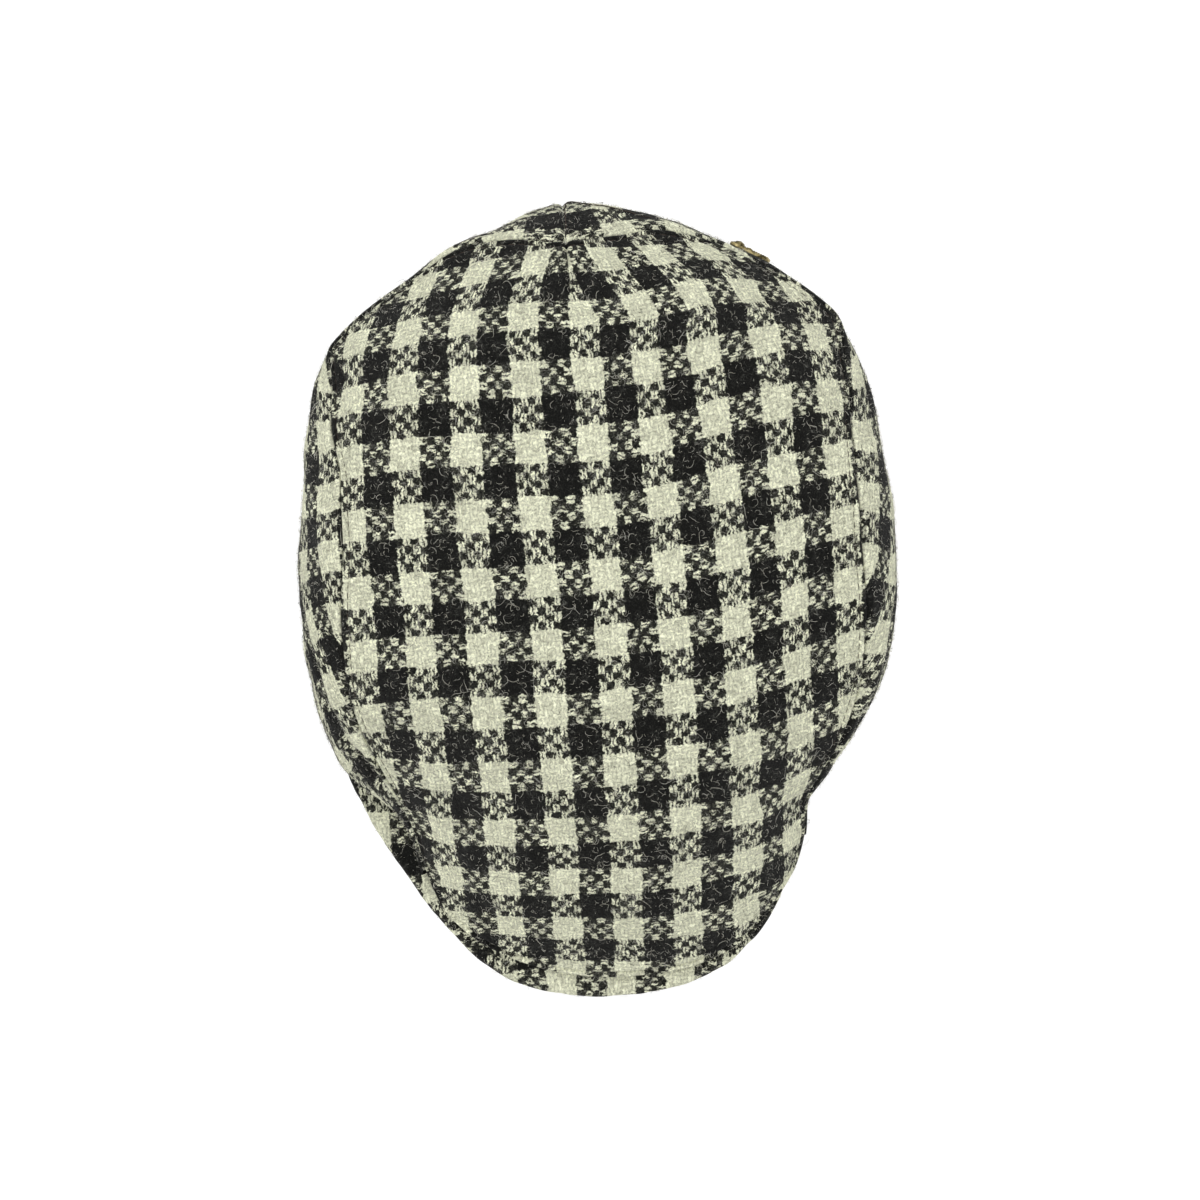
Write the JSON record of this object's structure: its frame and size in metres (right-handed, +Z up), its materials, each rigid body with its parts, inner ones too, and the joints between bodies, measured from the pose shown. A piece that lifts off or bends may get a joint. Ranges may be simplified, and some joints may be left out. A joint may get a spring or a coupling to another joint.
{
  "type": "flat cap",
  "caption": "Soft duckbill flat cap in a black and cream wool check, with a one-piece top, side panels, a stiff covered peak and a plain brass badge.",
  "frame": {"origin": "centre of the cap's bounding box, on the surface that its rim rests on", "axes": "+Z up, +Y to the back of the cap, the peak towards -Y, +X to the right as seen from above with the peak down, which is the wearer's left"},
  "size_m": [0.2048, 0.2713, 0.093],
  "materials": {
    "top_check_wool": "soft black and cream check in a basket weave, brushed, with loose curly fibres",
    "side_check_wool": "the same brushed black and cream check, cut as the side panels",
    "peak_check_wool": "the same check drawn tight over the stiff peak",
    "antique_brass": "antique brass, darkened in its recesses"
  },
  "bodies": {
    "root": {"crown_top_panel": "top_check_wool", "side_panel_left": "side_check_wool", "side_panel_right": "side_check_wool", "peak": "peak_check_wool", "badge": "antique_brass"}
  },
  "joints": []
}
